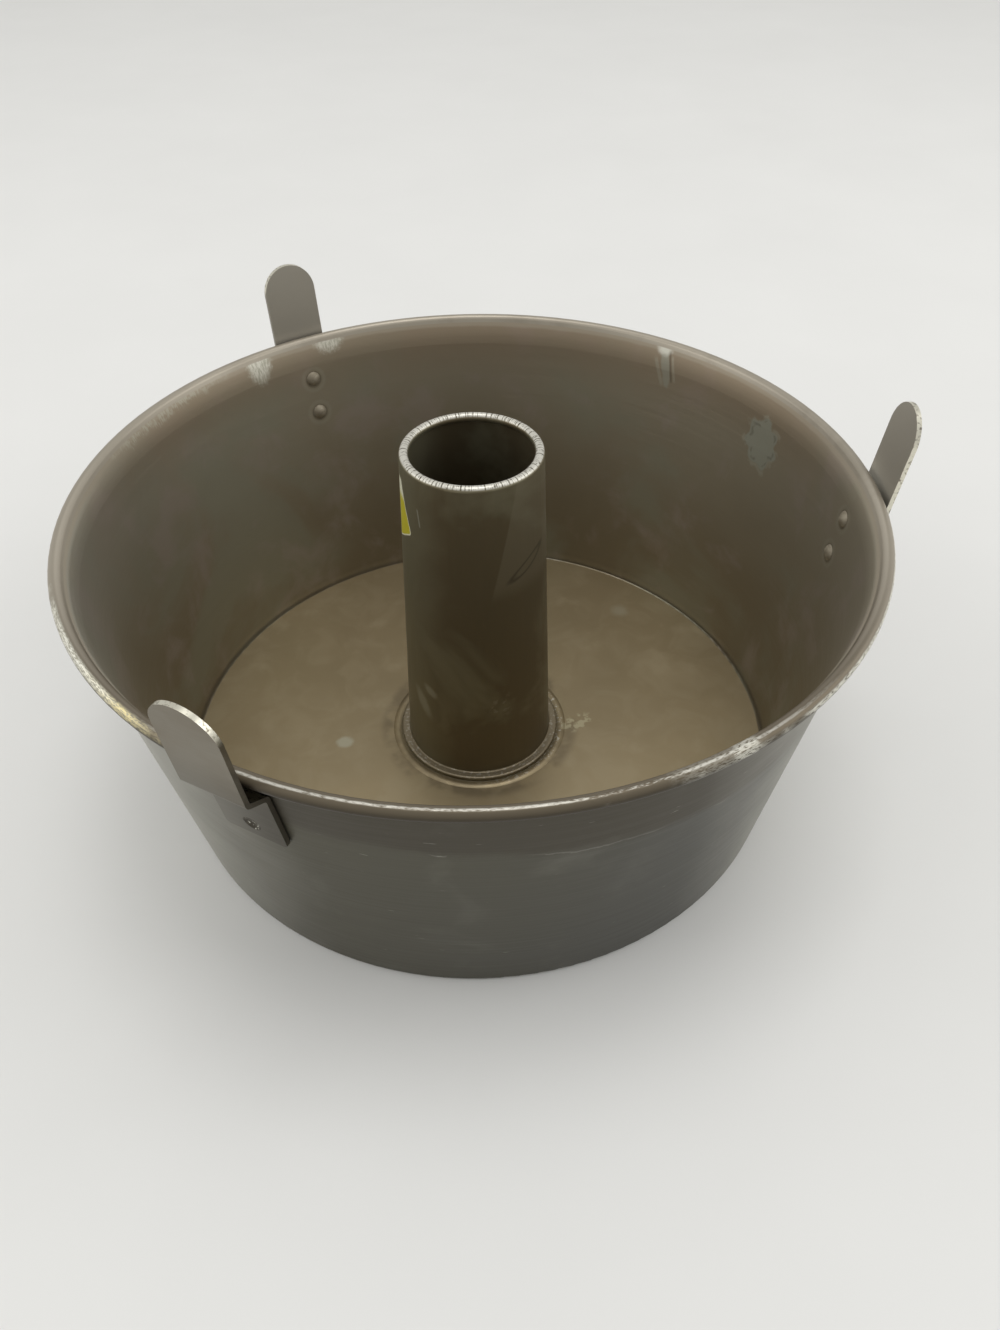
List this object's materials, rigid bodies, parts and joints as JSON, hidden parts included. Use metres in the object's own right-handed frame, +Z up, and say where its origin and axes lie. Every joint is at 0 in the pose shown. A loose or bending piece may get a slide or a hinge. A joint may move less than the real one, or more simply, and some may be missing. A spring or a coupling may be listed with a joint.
{
  "type": "angel food cake pan",
  "caption": "Round tapered aluminium cake pan on riveted feet, with a rolled rim and a lift-out floor that carries an open centre tube.",
  "frame": {"origin": "on the pan's axis, at the face of the base ledge that it stands on", "axes": "+Z up along the pan's axis, from the standing face to the open rim; +X through the middle of one foot, seen at the right in the picture"},
  "size_m": [0.2642, 0.258, 0.1336],
  "materials": {
    "shell_aluminium": "spun, dulled and baked brown in use",
    "floor_aluminium": "brushed, baked tan in use",
    "tube_aluminium": "drawn, baked dark brown, bright worn top",
    "foot_aluminium": "rolled sheet, dull",
    "rivet_aluminium": "pressed, dull"
  },
  "bodies": {
    "pan": {"pan_shell": "shell_aluminium", "right_foot": "foot_aluminium", "back_left_foot": "foot_aluminium", "front_left_foot": "foot_aluminium", "right_foot_upper_rivet": "rivet_aluminium", "right_foot_lower_rivet": "rivet_aluminium", "back_left_foot_upper_rivet": "rivet_aluminium", "back_left_foot_lower_rivet": "rivet_aluminium", "front_left_foot_upper_rivet": "rivet_aluminium", "front_left_foot_lower_rivet": "rivet_aluminium"},
    "insert": {"floor_disc": "floor_aluminium", "centre_tube": "tube_aluminium"}
  },
  "joints": [
    {"name": "insert_lift", "type": "slide", "parent": "pan", "child": "insert", "axis": [0, 0, 1], "range_m": [0, 0.14]}
  ]
}
